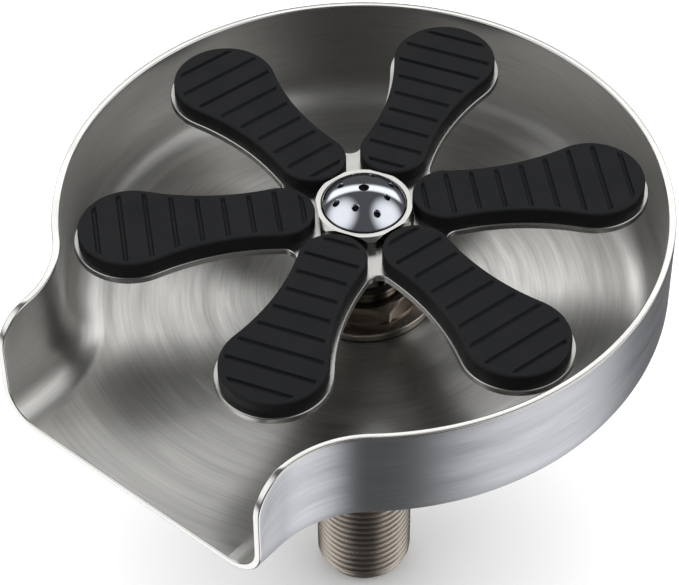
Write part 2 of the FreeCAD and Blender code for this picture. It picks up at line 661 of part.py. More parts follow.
def petal_outline(sketch, grow):
    """A petal or pad in plan: two round ends joined by hollow sides that are tangent to both."""
    form = petal_points(size(grow))
    up = FreeCAD.Vector(0, 0, 1)
    tip_angle = bearing(form["tip_centre"], form["tip_join"])
    root_angle = bearing(form["root_centre"], form["root_join"])
    from_tip = bearing(form["side"], form["tip_join"])
    from_root = bearing(form["side"], form["root_join"])
    low_side = FreeCAD.Vector(form["side"].x, -form["side"].y, 0)

    def arc(centre, radius, start, end):
        sketch.addGeometry(Part.ArcOfCircle(Part.Circle(centre, up, radius), start, end), False)

    arc(form["tip_centre"], form["tip"], -tip_angle, tip_angle)
    arc(form["side"], form["side_radius"], from_root, from_tip)
    arc(form["root_centre"], form["root"], root_angle, 2 * math.pi - root_angle)
    arc(low_side, form["side_radius"], -from_tip, -from_root)
    sketch.addGeometry(Part.Point(FreeCAD.Vector(form["side"].x, form["waist"], 0)), True)
    add = sketch.addConstraint
    add(Sketcher.Constraint("Tangent", 0, 2, 1, 2))
    add(Sketcher.Constraint("Tangent", 1, 1, 2, 1))
    add(Sketcher.Constraint("Tangent", 2, 2, 3, 2))
    add(Sketcher.Constraint("Tangent", 3, 1, 0, 1))
    add(Sketcher.Constraint("Equal", 1, 3))
    add(Sketcher.Constraint("PointOnObject", 4, 1, 1))
    add(Sketcher.Constraint("Vertical", 4, 1, 1, 3))
    for index, radius in ((0, "(pad_tip_radius + %s)" % grow), (2, "(pad_root_radius + %s)" % grow)):
        number = add(Sketcher.Constraint("Radius", index, size(radius)))
        sketch.setExpression("Constraints[%d]" % number, bound(radius))
    waist = "(pad_waist + %s)" % grow
    number = add(Sketcher.Constraint("DistanceY", -1, 1, 4, 1, size(waist)))
    sketch.setExpression("Constraints[%d]" % number, bound(waist))
    pin_point(sketch, 0, 3, "pad_tip_centre", "0")
    pin_point(sketch, 2, 3, PAD_ROOT, "0")


def petal_block(name, grow, low, height):
    body = doc.addObject("PartDesign::Body", name)
    outline = sketch_on(body, "XY_Plane", name + "_outline", low)
    petal_outline(outline, grow)
    block = body.newObject("PartDesign::Pad", name + "_block")
    block.Profile = outline
    block.setExpression("Length", bound(height))
    body.Tip = block
    doc.recompute()
    return body, block


def make_pads():
    blank, block = petal_block("pad_blank", "0", PAD_LOW, "pad_thick")
    top = edges_at(block.Shape, size("pad_top"), lambda point: True)
    fillet(blank, block, "pad_edge", top, "pad_round")
    field, _ = petal_block("groove_field", "(0 - rib_margin)", "(pad_top - rib_depth)", "rib_depth * 2")
    bars = []
    for index in range(round(size("rib_count"))):
        bar = doc.addObject("Part::Box", "groove_bar_%d" % (index + 1))
        bar.setExpression("Length", bound("rib_half_width * 2"))
        bar.setExpression("Width", bound("pad_tip_radius * 2"))
        bar.setExpression("Height", bound("rib_depth * 2"))
        bar.setExpression("Placement.Base.x", bound("rib_first + rib_pitch * %d - rib_half_width" % index))
        bar.setExpression("Placement.Base.y", bound("0 - pad_tip_radius"))
        bar.setExpression("Placement.Base.z", bound("pad_top - rib_depth"))
        bars.append(bar)
    grooves = common("pad_grooves", field, fuse("groove_bars", bars))
    pad = cut("pad", blank, [grooves])
    for index in range(6):
        copy = doc.addObject("Part::Compound", "pad_%d" % (index + 1))
        copy.Links = [pad]
        angle = size("star_turn") + 60 * index
        copy.Placement.Rotation = FreeCAD.Rotation(FreeCAD.Vector(0, 0, 1), angle)
        node(copy, "pad_%d" % (index + 1))


def make_star_plate():
    """One plate whose edge is a chain of tangent arcs, six petals with a round notch between each.

    A notch arc touches the root circles of the two petals beside it."""
    form = petal_points(size("ledge"))
    notch = size("petal_fillet")
    reach = form["root"] + notch
    near = form["root_centre"].x
    out = near * math.cos(math.pi / 6) + math.sqrt(reach ** 2 - (near * math.sin(math.pi / 6)) ** 2)
    notch_centre = FreeCAD.Vector(out * math.cos(math.pi / 6), out * math.sin(math.pi / 6), 0)
    notch_join = form["root_centre"] + (notch_centre - form["root_centre"]) * (form["root"] / reach)
    valley = notch_centre * ((out - notch) / out)
    turn_on = FreeCAD.Rotation(FreeCAD.Vector(0, 0, 1), 60)

    def mirrored(point):
        return FreeCAD.Vector(point.x, -point.y, 0)

    def between(centre, radius, first, second):
        """The point of a circle halfway between two points on it, on their side."""
        middle = (first + second) / 2 - centre
        return centre + middle * (radius / middle.Length)

    root_middle = between(form["root_centre"], form["root"], notch_join, form["root_join"])
    side_middle = between(form["side"], form["side_radius"], form["root_join"], form["tip_join"])
    tip_end = FreeCAD.Vector(form["tip_centre"].x + form["tip"], 0, 0)
    half = [(form["tip_join"], side_middle, form["root_join"]),
            (form["root_join"], root_middle, notch_join)]
    lead_in = [(mirrored(c), mirrored(b), mirrored(a)) for a, b, c in reversed(half)]
    petal = lead_in + [(mirrored(form["tip_join"]), tip_end, form["tip_join"])] + half
    petal.append((notch_join, valley, turn_on.multVec(mirrored(notch_join))))
    edges = []
    for index in range(6):
        turn = FreeCAD.Rotation(FreeCAD.Vector(0, 0, 1), 60 * index)
        for points in petal:
            edges.append(Part.Arc(*[turn.multVec(point) for point in points]).toShape())
    outline = Part.Wire(edges)
    thick = size("plate_thick")
    slab = Part.Face(outline).extrude(FreeCAD.Vector(0, 0, thick))
    upper = [edge for edge in slab.Edges
             if abs(edge.BoundBox.ZMin - thick) < FINE and abs(edge.BoundBox.ZMax - thick) < FINE]
    slab = slab.makeFillet(size("plate_round"), upper)
    hole = Part.makeCylinder(size("stem_radius"), 3 * thick, FreeCAD.Vector(0, 0, -thick))
    plate = doc.addObject("Part::Feature", "star_plate")
    plate.Shape = slab.cut(hole)
    plate.Placement = FreeCAD.Placement(
        FreeCAD.Vector(0, 0, size(STAR_LOW)),
        FreeCAD.Rotation(FreeCAD.Vector(0, 0, 1), size("star_turn")))
    node(plate, "star_plate")
    node(ring("lock_collar", "stem_radius", "collar_radius", COLLAR_LOW, STAR_LOW), "lock_collar")


def make_hub():
    prism = hexagon("hub_hexagon", "hub_flats", PAD_LOW, "hub_height")
    # a corner of the hexagon points into the gap between two petals
    prism.Placement.Rotation = FreeCAD.Rotation(FreeCAD.Vector(0, 0, 1), size("star_turn") + 30)
    envelope = turned("hub_envelope", [
        ("0", PAD_LOW), (HUB_CORNER, PAD_LOW), (HUB_CORNER, "(%s - hub_chamfer)" % HUB_TOP),
        ("(%s - hub_chamfer_in)" % HUB_CORNER, HUB_TOP), ("0", HUB_TOP)])
    pocket = "(dome_radius + dome_groove)"
    inside = turned("hub_inside", [
        ("0", STAR_LOW), ("stem_radius", STAR_LOW), ("stem_radius", WEB_TOP), (pocket, WEB_TOP),
        (pocket, "(%s + hub_height)" % HUB_TOP), ("0", "(%s + hub_height)" % HUB_TOP)])
    node(cut("hex_hub", common("hub_chamfered", prism, envelope), [inside]), "hex_hub")
    node(ring("dome_washer", "stem_radius", "(%s - slip_gap)" % pocket, WEB_TOP, SKIRT_LOW), "dome_washer")


def ball(name, radius, height):
    sphere = doc.addObject("Part::Sphere", name)
    sphere.setExpression("Radius", bound(radius))
    sphere.setExpression("Placement.Base.z", bound(height))
    return sphere


def make_dome():
    """A spherical cap on a short skirt, drilled with a centre hole and eight smaller holes."""
    start = "(%s + dome_spring)" % HUB_TOP
    rise = "(dome_top - %s)" % start
    radius = "((dome_radius^2 + %s^2) / (2 * %s))" % (rise, rise)
    centre = "(dome_top - %s)" % radius
    column = turned("dome_column", [
        ("0", SKIRT_LOW), ("(dome_radius + dome_groove)", SKIRT_LOW),
        ("(dome_radius + dome_groove)", "(%s + dome_thread)" % SKIRT_LOW),
        ("dome_radius", "(%s + dome_thread)" % SKIRT_LOW), ("dome_radius", "dome_top"), ("0", "dome_top")])
    capped = common("dome_solid", column, fuse("dome_outside", [
        ball("dome_ball", radius, centre), cylinder("dome_foot", "dome_radius * 2", STAR_LOW,
                                                    "(%s - %s)" % (start, STAR_LOW))]))
    inner_column = cylinder("dome_bore", "(dome_radius - dome_wall)", STAR_LOW, "(dome_top - %s)" % STAR_LOW)
    hollow = common("dome_hollow", inner_column, fuse("dome_inside", [
        ball("dome_inner_ball", "(%s - dome_wall)" % radius, centre),
        cylinder("dome_inner_foot", "dome_radius", STAR_LOW, "(%s - %s)" % (start, STAR_LOW))]))
    drill_low, drill_height = start, "(2 * %s)" % rise
    drills = hole_ring("spray_centre", 1, "0", "dome_centre_hole", drill_low, drill_height)
    for index in range(8):
        circle = "dome_ring_inner" if index % 2 else "dome_ring_outer"
        angle = size("star_turn") + size("spray_turn") + 45 * index
        x, y = ("%s * %s(%.9g deg)" % (circle, part, angle) for part in ("cos", "sin"))
        drills.append(cylinder("spray_%d" % (index + 1), "dome_side_hole", drill_low, drill_height, x, y))
    node(cut("spray_dome", capped, [hollow] + drills), "spray_dome")


make_pads()
make_star_plate()
make_hub()
make_dome()


# ---------------------------------------------------------------- check and write


doc.recompute()
failed = [item.Name for item in doc.Objects if "Invalid" in item.State or "Error" in item.State]
if failed:
    raise RuntimeError("these objects failed: " + ", ".join(failed))
labels = [piece.Label for piece in nodes]
if len(set(labels)) != len(labels):
    raise RuntimeError("two nodes share a label")
for piece in nodes:
    if piece.Shape.isNull() or not piece.Shape.isValid() or not piece.Shape.Solids:
        raise RuntimeError("no valid solid in " + piece.Label)

os.makedirs("parts", exist_ok=True)
for piece in nodes:
    piece.Shape.exportStep("parts/%s.step" % piece.Label)
    print("%-20s %9.1f mm3  %d solid" % (piece.Label, piece.Shape.Volume, len(piece.Shape.Solids)))
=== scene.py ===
"""Glass rinser: a steel tray with a pouring spout, a press-down star of rubber pads and its push valve."""
import math

import bmesh
import bpy
import numpy as np
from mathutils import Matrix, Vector


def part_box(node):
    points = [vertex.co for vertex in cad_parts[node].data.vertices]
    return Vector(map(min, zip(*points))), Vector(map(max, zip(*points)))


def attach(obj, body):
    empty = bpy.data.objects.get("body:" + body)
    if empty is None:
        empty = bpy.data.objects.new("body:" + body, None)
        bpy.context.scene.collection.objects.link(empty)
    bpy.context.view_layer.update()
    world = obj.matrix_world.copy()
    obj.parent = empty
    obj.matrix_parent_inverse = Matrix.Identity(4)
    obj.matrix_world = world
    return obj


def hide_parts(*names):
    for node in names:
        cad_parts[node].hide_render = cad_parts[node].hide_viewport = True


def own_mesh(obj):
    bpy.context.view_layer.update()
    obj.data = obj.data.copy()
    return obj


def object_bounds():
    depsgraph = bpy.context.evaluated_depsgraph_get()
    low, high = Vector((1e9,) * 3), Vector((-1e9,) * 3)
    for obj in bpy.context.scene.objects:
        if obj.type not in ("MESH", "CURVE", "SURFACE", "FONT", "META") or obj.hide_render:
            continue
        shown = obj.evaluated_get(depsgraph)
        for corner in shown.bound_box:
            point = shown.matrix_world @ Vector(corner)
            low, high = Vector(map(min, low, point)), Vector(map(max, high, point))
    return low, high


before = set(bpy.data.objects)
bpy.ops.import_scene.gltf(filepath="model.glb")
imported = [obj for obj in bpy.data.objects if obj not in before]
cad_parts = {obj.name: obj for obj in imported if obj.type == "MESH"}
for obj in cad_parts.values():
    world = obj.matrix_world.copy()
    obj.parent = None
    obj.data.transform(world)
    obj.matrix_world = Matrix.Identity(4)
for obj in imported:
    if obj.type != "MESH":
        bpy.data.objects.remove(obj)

bl_info = {
    "name": "Glass rinser",
    "version": (1, 0, 0),
    "blender": (4, 5, 0),
    "location": "View3D > Sidebar > Rinser",
    "description": "Builds the visible pieces of a deck-mounted glass rinser around its frame",
    "category": "Add Mesh",
}

CAD_BOX = [list(corner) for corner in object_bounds()]
MM = 0.001
TURN = 2 * math.pi
SPRING_TURNS = 7
GROOVES = 9  # across each pad
STAR_TURN = 48.35  # degrees from +X to the first petal's middle line
SPRAY_TURN = 16.65  # degrees from that petal to the first spray hole
DOME_SKIRT_TOP = 26.6 * MM


# ---------------------------------------------------------------- sizes and colours


def length(name, description, default):
    return bpy.props.FloatProperty(name=name, description=description, default=default * MM,
                                   unit="LENGTH", subtype="DISTANCE", precision=5)


def colour(name, description, default):
    return bpy.props.FloatVectorProperty(name=name, description=description, subtype="COLOR", size=3,
                                         min=0.0, max=1.0, default=linear(default))


def linear(hex_colour):
    """An sRGB hex colour as linear red, green and blue."""
    values = [int(hex_colour[i:i + 2], 16) / 255 for i in (1, 3, 5)]
    return tuple(v / 12.92 if v <= 0.04045 else ((v + 0.055) / 1.055) ** 2.4 for v in values)


class RinserSizes(bpy.types.PropertyGroup):
    """Sizes of the pieces that are drawn here."""

    tray_radius: length("Tray radius", "Outside of the tray's wall", 62.2)
    tray_height: length("Tray height", "Top of the tray's rim", 26.45)
    sheet: length("Sheet", "Thickness of the tray's steel", 1.5)
    corner: length("Bottom corner", "Outside radius between the wall and the floor", 8.5)
    rim_round: length("Rim rounding", "Rounding of the sheet's cut edge", 0.3)
    spout_half: length("Spout half width", "Outside of the spout's walls", 33.5)
    spout_blend: length("Spout blend", "Concave radius between the wall and the spout", 22.0)
    spout_front: length("Spout front", "Distance of the lip from the axis", 70.3)
    spout_round: length("Spout corner", "Rounding of the wall's top front corners", 8.0)
    hole_radius: length("Hole", "Hole in the tray's floor", 10.6)
    thread_radius: length("Thread radius", "Crest of the shank's pipe thread", 10.4775)
    thread_pitch: length("Thread pitch", "14 turns in 25.4 mm", 1.8143)
    thread_depth: length("Thread depth", "Crest to root", 1.1617)
    bore_radius: length("Inlet bore", "Water way in the shank", 7.5)
    flange_radius: length("Flange radius", "Flange on the tray's floor", 15.35)
    pad_root: length("Pad root radius", "Round end nearest the middle", 6.9)
    pad_root_centre: length("Pad root centre", "Its distance from the axis", 16.8)
    pad_tip: length("Pad tip radius", "Round end at the rim", 10.6)
    pad_tip_centre: length("Pad tip centre", "Its distance from the axis", 46.6)
    pad_waist: length("Pad waist", "Half width where the pad is narrowest", 6.4)
    pad_round: length("Pad edge rounding", "Rounding of the pad's upper edge", 0.55)
    groove_first: length("First groove", "Distance of the first groove from the axis", 12.3)
    groove_pitch: length("Groove pitch", "Spacing of the pad's grooves", 5.15)
    groove_width: length("Groove width", "Width of a groove", 0.8)
    groove_depth: length("Groove depth", "Depth of a groove", 0.6)
    groove_margin: length("Groove margin", "Plain border round the grooves", 1.2)
    dome_radius: length("Dome radius", "Outside of the spray dome", 8.35)
    spring_radius: length("Spring radius", "Axis to the middle of the spring's wire", 5.5)
    wire_radius: length("Spring wire radius", "Half the thickness of the spring's wire", 0.5)
    press_travel: length("Press travel", "How far the star goes down", 5.0)
    dome_top: length("Dome top", "Height of the spray dome's top", 30.7)


class RinserFinishes(bpy.types.PropertyGroup):
    """Colours of the finishes."""

    steel: colour("Stainless steel", "Brushed and turned sheet", "#D0CFCC")
    wall: colour("Outer wall", "Brushed steel with a cooler cast", "#CACCD1")
    nickel: colour("Nickel plate", "Plating on the brass parts", "#AEA59B")
    chrome: colour("Chrome plate", "Plating on the dome", "#C4C8D0")
    rubber: colour("Pad rubber", "Moulded black rubber", "#0A0B0D")
    floor: colour("Floor", "Studio floor", "#F7F7F7")


# ---------------------------------------------------------------- meshes


def surface(points, uv=None, material=0):
    """One grid of points, (rows, columns, 3), with its UV grid and its material number, or one per face."""
    points = np.asarray(points, float)
    if uv is None:
        uv = np.zeros(points.shape[:2] + (2,))
    return {"points": points, "uv": np.asarray(uv, float), "material": material}


def build(name, surfaces, materials, body, sharp=32.0):
    """One closed piece from several grids whose shared borders are merged."""
    points, quads, uvs, numbers, start = [], [], [], [], 0
    for grid in surfaces:
        rows, columns = grid["points"].shape[:2]
        index = np.arange(rows * columns).reshape(rows, columns) + start
        corners = [index[:-1, :-1], index[1:, :-1], index[1:, 1:], index[:-1, 1:]]
        quads.append(np.stack(corners, -1).reshape(-1, 4))
        points.append(grid["points"].reshape(-1, 3))
        uvs.append(grid["uv"].reshape(-1, 2))
        numbers.append(np.broadcast_to(grid["material"], (rows - 1, columns - 1)).ravel())
        start += rows * columns
    points, quads, uvs = np.concatenate(points), np.concatenate(quads), np.concatenate(uvs)
    mesh = bpy.data.meshes.new(name)
    mesh.vertices.add(len(points))
    mesh.vertices.foreach_set("co", points.ravel())
    mesh.loops.add(quads.size)
    mesh.loops.foreach_set("vertex_index", quads.ravel().astype(np.int32))
    mesh.polygons.add(len(quads))
    mesh.polygons.foreach_set("loop_start", np.arange(0, quads.size, 4, dtype=np.int32))
    mesh.polygons.foreach_set("material_index", np.concatenate(numbers).astype(np.int32))
    layer = mesh.uv_layers.new(name="along")
    layer.data.foreach_set("uv", uvs[quads.ravel()].ravel())
    mesh.update(calc_edges=True)
    for material in materials:
        mesh.materials.append(material)
    work = bmesh.new()
    work.from_mesh(mesh)
    bmesh.ops.remove_doubles(work, verts=work.verts, dist=2e-6)
    bmesh.ops.dissolve_degenerate(work, edges=work.edges, dist=1e-6)
    bmesh.ops.recalc_face_normals(work, faces=work.faces)
    work.to_mesh(mesh)
    work.free()
    mesh.polygons.foreach_set("use_smooth", np.ones(len(mesh.polygons), bool))
    mesh.set_sharp_from_angle(angle=math.radians(sharp))
    mesh.update()
    piece = bpy.data.objects.new(name, mesh)
    bpy.context.scene.collection.objects.link(piece)
    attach(piece, body)
    return piece


def lathe(profile, columns=160, uv_scale=1.0):
    """A profile of (radius, height) rows turned about Z: (r cos a, r sin a, z)."""
    profile = np.asarray(profile, float)
    angle = np.linspace(0, TURN, columns + 1)
    radius, height = profile[:, :1], profile[:, 1:2]
    points = np.stack([radius * np.cos(angle), radius * np.sin(angle), height + 0 * angle], -1)
    run = np.concatenate([[0], np.cumsum(np.hypot(*np.diff(profile, axis=0).T))])[:, None]
    uv = np.stack([angle * uv_scale + 0 * run, run + 0 * angle], -1)
    return points, uv


# ---------------------------------------------------------------- materials


def add(tree, kind, links=None, **settings):
    """Add a node, set its properties and input values, and link its inputs."""
    node = tree.nodes.new(kind)
    for key, value in settings.items():
        if hasattr(node, key):
            setattr(node, key, value)
        else:
            node.inputs[key.replace("_", " ")].default_value = value
    for key, source in (links or {}).items():
        tree.links.new(source, node.inputs[key])
    return node


def material(name):
    made = bpy.data.materials.new(name)
    made.use_nodes = True
    tree = made.node_tree
    tree.nodes.clear()
    shader = tree.nodes.new("ShaderNodeBsdfPrincipled")
    output = tree.nodes.new("ShaderNodeOutputMaterial")
    tree.links.new(shader.outputs["BSDF"], output.inputs["Surface"])
    return made, tree, shader


def shade(tree, factor, dark, light):
    """A colour between two, by a factor from 0 to 1."""
    mix = add(tree, "ShaderNodeMix", data_type="RGBA")
    tree.links.new(factor, mix.inputs["Factor"])
    mix.inputs["A"].default_value = (*dark, 1)
    mix.inputs["B"].default_value = (*light, 1)
    return mix.outputs["Result"]


def dim(rgb, amount):
    return tuple(v * amount for v in rgb)


def ring_lines(tree, spacing, wobble=0.0):
    """Fine rings round the Z axis: noise read along the distance from the axis and the height."""
    place = add(tree, "ShaderNodeTexCoord").outputs["Object"]
    apart = add(tree, "ShaderNodeSeparateXYZ", {"Vector": place})
    flat = add(tree, "ShaderNodeCombineXYZ", {"X": apart.outputs["X"], "Y": apart.outputs["Y"]})
    radius = add(tree, "ShaderNodeVectorMath", {0: flat.outputs["Vector"]}, operation="LENGTH")
    angle = add(tree, "ShaderNodeMath", {0: apart.outputs["Y"], 1: apart.outputs["X"]}, operation="ARCTAN2")
    slow = add(tree, "ShaderNodeMath", {0: angle.outputs["Value"]}, operation="MULTIPLY")
    slow.inputs[1].default_value = wobble
    along = add(tree, "ShaderNodeCombineXYZ", {
        "X": radius.outputs["Value"], "Y": slow.outputs["Value"], "Z": apart.outputs["Z"]})
    return add(tree, "ShaderNodeTexNoise", {"Vector": along.outputs["Vector"]},
               Scale=1 / (spacing * MM), Detail=3.0, Roughness=0.6).outputs["Fac"]


def streaks(tree, spacing, stretch):
    """Long brushing streaks that follow the first UV direction."""
    uv = add(tree, "ShaderNodeUVMap", uv_map="along").outputs["UV"]
    drawn = add(tree, "ShaderNodeMapping", {"Vector": uv}, vector_type="POINT")
    drawn.inputs["Scale"].default_value = (1 / (spacing * stretch * MM), 1 / (spacing * MM), 1)
    return add(tree, "ShaderNodeTexNoise", {"Vector": drawn.outputs["Vector"]},
               Scale=1.0, Detail=6.0, Roughness=0.6).outputs["Fac"]


def spread(tree, source, low, high, to_low=0.0, to_high=1.0):
    return add(tree, "ShaderNodeMapRange", {"Value": source}, **{
        "From_Min": low, "From_Max": high, "To_Min": to_low, "To_Max": to_high}).outputs["Result"]


def bump(tree, shader, height, depth):
    node = add(tree, "ShaderNodeBump", {"Height": height}, Strength=1.0, Distance=depth * MM)
    tree.links.new(node.outputs["Normal"], shader.inputs["Normal"])


def round_tangent(tree):
    """The direction round the Z axis, for metal turned on a lathe."""
    place = add(tree, "ShaderNodeTexCoord").outputs["Object"]
    apart = add(tree, "ShaderNodeSeparateXYZ", {"Vector": place})
    back = add(tree, "ShaderNodeMath", {0: apart.outputs["Y"]}, operation="MULTIPLY")
    back.inputs[1].default_value = -1.0
    turned = add(tree, "ShaderNodeCombineXYZ", {"X": back.outputs["Value"], "Y": apart.outputs["X"]})
    world = add(tree, "ShaderNodeVectorTransform", {"Vector": turned.outputs["Vector"]},
                vector_type="VECTOR", convert_from="OBJECT", convert_to="WORLD")
    unit = add(tree, "ShaderNodeVectorMath", {0: world.outputs["Vector"]}, operation="NORMALIZE")
    return unit.outputs["Vector"]


def turned_steel(name, rgb, roughness=0.38, grain=0.45, anisotropy=0.88):
    """Stainless sheet finished on a lathe with an abrasive pad: rings that catch light in fans."""
    made, tree, shader = material(name)
    fine = ring_lines(tree, grain, 0.0012)
    broad = ring_lines(tree, grain * 9, 0.004)
    tint = shade(tree, spread(tree, fine, 0.3, 0.7), dim(rgb, 0.80), rgb)
    tree.links.new(tint, shader.inputs["Base Color"])
    rough = spread(tree, broad, 0.3, 0.7, roughness - 0.06, roughness + 0.08)
    tree.links.new(rough, shader.inputs["Roughness"])
    bump(tree, shader, fine, 0.002)
    shader.inputs["Metallic"].default_value = 1.0
    shader.inputs["Anisotropic"].default_value = anisotropy
    shader.inputs["Anisotropic Rotation"].default_value = 0.25
    tree.links.new(round_tangent(tree), shader.inputs["Tangent"])
    return made


def brushed_steel(name, rgb, roughness=0.32, grain=0.22, stretch=60.0, anisotropy=0.75):
    """Stainless sheet brushed along the wall: long fine streaks and a highlight drawn out across them."""
    made, tree, shader = material(name)
    fine = streaks(tree, grain, stretch)
    broad = streaks(tree, grain * 10, stretch / 4)
    tint = shade(tree, spread(tree, fine, 0.3, 0.7), dim(rgb, 0.82), rgb)
    tree.links.new(tint, shader.inputs["Base Color"])
    rough = spread(tree, broad, 0.3, 0.7, roughness - 0.05, roughness + 0.07)
    tree.links.new(rough, shader.inputs["Roughness"])
    bump(tree, shader, fine, 0.006)
    shader.inputs["Metallic"].default_value = 1.0
    shader.inputs["Anisotropic"].default_value = anisotropy
    shader.inputs["Anisotropic Rotation"].default_value = 0.25
    tangent = add(tree, "ShaderNodeTangent", direction_type="UV_MAP", uv_map="along")
    tree.links.new(tangent.outputs["Tangent"], shader.inputs["Tangent"])
    return made


def plated_metal(name, rgb, roughness, grain=0.25, depth=0.006):
    """Turned and plated metal: faint rings from the lathe under a smooth plating."""
    made, tree, shader = material(name)
    fine = ring_lines(tree, grain, 0.0)
    stain = add(tree, "ShaderNodeTexNoise", {"Vector": add(tree, "ShaderNodeTexCoord").outputs["Object"]},
                Scale=1 / (6 * MM), Detail=3.0)
    tint = shade(tree, spread(tree, fine, 0.25, 0.75), dim(rgb, 0.86), rgb)
    tree.links.new(tint, shader.inputs["Base Color"])
    tree.links.new(spread(tree, stain.outputs["Fac"], 0.3, 0.7, roughness * 0.8, roughness * 1.25),
                   shader.inputs["Roughness"])
    bump(tree, shader, fine, depth)
    shader.inputs["Metallic"].default_value = 1.0
    return made


def satin_steel(name, rgb, roughness=0.26, grain=0.5):
    """Cut stainless plate tumbled smooth: an even satin with a faint cloudy grain."""
    made, tree, shader = material(name)
    place = add(tree, "ShaderNodeTexCoord").outputs["Object"]
    fine = add(tree, "ShaderNodeTexNoise", {"Vector": place},
               Scale=1 / (grain * MM), Detail=6.0, Roughness=0.7)
    broad = add(tree, "ShaderNodeTexNoise", {"Vector": place}, Scale=1 / (9 * MM), Detail=2.0)
    tree.links.new(shade(tree, fine.outputs["Fac"], dim(rgb, 0.86), rgb), shader.inputs["Base Color"])
    tree.links.new(spread(tree, broad.outputs["Fac"], 0.3, 0.7, roughness - 0.05, roughness + 0.06),
                   shader.inputs["Roughness"])
    bump(tree, shader, fine.outputs["Fac"], 0.004)
    shader.inputs["Metallic"].default_value = 1.0
    return made


def chrome(name, rgb):
    """Chrome plate on polished brass: a mirror with a trace of haze."""
    made, tree, shader = material(name)
    place = add(tree, "ShaderNodeTexCoord").outputs["Object"]
    haze = add(tree, "ShaderNodeTexNoise", {"Vector": place}, Scale=1 / (1.5 * MM), Detail=4.0)
    tree.links.new(spread(tree, haze.outputs["Fac"], 0.3, 0.7, 0.03, 0.07), shader.inputs["Roughness"])
    tree.links.new(shade(tree, haze.outputs["Fac"], dim(rgb, 0.95), rgb), shader.inputs["Base Color"])
    shader.inputs["Metallic"].default_value = 1.0
    return made


def moulded_rubber(name, rgb, roughness=0.62):
    """Moulded black rubber: a fine matt grain from the mould, greyer where light grazes it."""
    made, tree, shader = material(name)
    place = add(tree, "ShaderNodeTexCoord").outputs["Object"]
    grain = add(tree, "ShaderNodeTexNoise", {"Vector": place},
                Scale=1 / (0.35 * MM), Detail=4.0, Roughness=0.6)
    cloud = add(tree, "ShaderNodeTexNoise", {"Vector": place}, Scale=1 / (7 * MM), Detail=3.0)
    tint = shade(tree, cloud.outputs["Fac"], dim(rgb, 0.8), dim(rgb, 1.35))
    tree.links.new(tint, shader.inputs["Base Color"])
    tree.links.new(spread(tree, cloud.outputs["Fac"], 0.3, 0.7, roughness - 0.08, roughness + 0.08),
                   shader.inputs["Roughness"])
    bump(tree, shader, grain.outputs["Fac"], 0.03)
    shader.inputs["IOR"].default_value = 1.52
    shader.inputs["Specular IOR Level"].default_value = 0.25
    return made


def moulded_plastic(name, rgb):
    """Moulded acetal: smooth, slightly waxy white plastic."""
    made, tree, shader = material(name)
    place = add(tree, "ShaderNodeTexCoord").outputs["Object"]
    cloud = add(tree, "ShaderNodeTexNoise", {"Vector": place}, Scale=1 / (4 * MM), Detail=3.0)
    tree.links.new(shade(tree, cloud.outputs["Fac"], dim(rgb, 0.92), rgb), shader.inputs["Base Color"])
    tree.links.new(spread(tree, cloud.outputs["Fac"], 0.3, 0.7, 0.35, 0.5), shader.inputs["Roughness"])
    shader.inputs["IOR"].default_value = 1.48
    return made


def dress(nodes, made):
    """Give carried-over pieces of the frame a finish, leaving their meshes alone."""
    for node in nodes:
        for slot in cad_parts[node].material_slots:
            slot.material = made


# ---------------------------------------------------------------- tray


def tray_path(s):
    """The wall's outside in plan from the lip's left end round to its right end.

    It is a straight side, a concave arc, the round wall, and the same again mirrored.
    Returns points, outward directions and the height of the sheet's edge at each."""
    blend_x = s.spout_half + s.spout_blend
    blend_y = -math.sqrt((s.tray_radius + s.spout_blend) ** 2 - blend_x ** 2)
    corner = s.spout_round - s.rim_round
    corner_y = -s.spout_front + s.spout_round
    lift = np.linspace(0, 1, 22) * math.acos((corner_y - blend_y) / corner)
    straight = corner_y - corner * np.cos(lift)
    side = np.stack([np.full_like(straight, -s.spout_half), straight], -1)
    side_out = np.tile([-1.0, 0.0], (len(side), 1))
    turn = np.linspace(0, math.atan2(-blend_y, blend_x), 40)[1:]
    away = np.stack([np.cos(turn), np.sin(turn)], -1)
    hollow = np.array([-blend_x, blend_y]) + s.spout_blend * away
    start = math.pi + turn[-1]
    sweep = np.linspace(start, math.pi / 2, 150)[1:]
    radial = np.stack([np.cos(sweep), np.sin(sweep)], -1)
    half = np.concatenate([side, hollow, s.tray_radius * radial])
    half_out = np.concatenate([side_out, -away, radial])
    mirror = np.array([-1.0, 1.0])
    path = np.concatenate([half, (half * mirror)[-2::-1]])
    out = np.concatenate([half_out, (half_out * mirror)[-2::-1]])
    near = np.clip((corner_y - path[:, 1]) / corner, 0, 1)
    edge = s.tray_height - s.rim_round - corner * (1 - np.sqrt(1 - near ** 2))
    proud = np.stack([0 * near, -near, np.sqrt(1 - near ** 2)], -1)
    return path, out, edge, proud


def wall_side(s, path, out, edge, radius):
    """One side of the wall: straight down from the edge, then a quarter turn into the floor.

    Inset d and height z are (corner - radius cos a, corner - radius sin a) on the turn."""
    drop = np.linspace(0, 1, 12)[:-1, None]
    straight = edge + (s.corner - edge) * drop
    angle = np.linspace(0, math.pi / 2, 18)[:, None]
    height = np.concatenate([straight, s.corner - radius * np.sin(angle) + 0 * edge])
    inset = np.concatenate([0 * straight + s.corner - radius, s.corner - radius * np.cos(angle) + 0 * edge])
    plan = path[None] - inset[..., None] * out[None]
    return np.concatenate([plan, height[..., None]], -1)


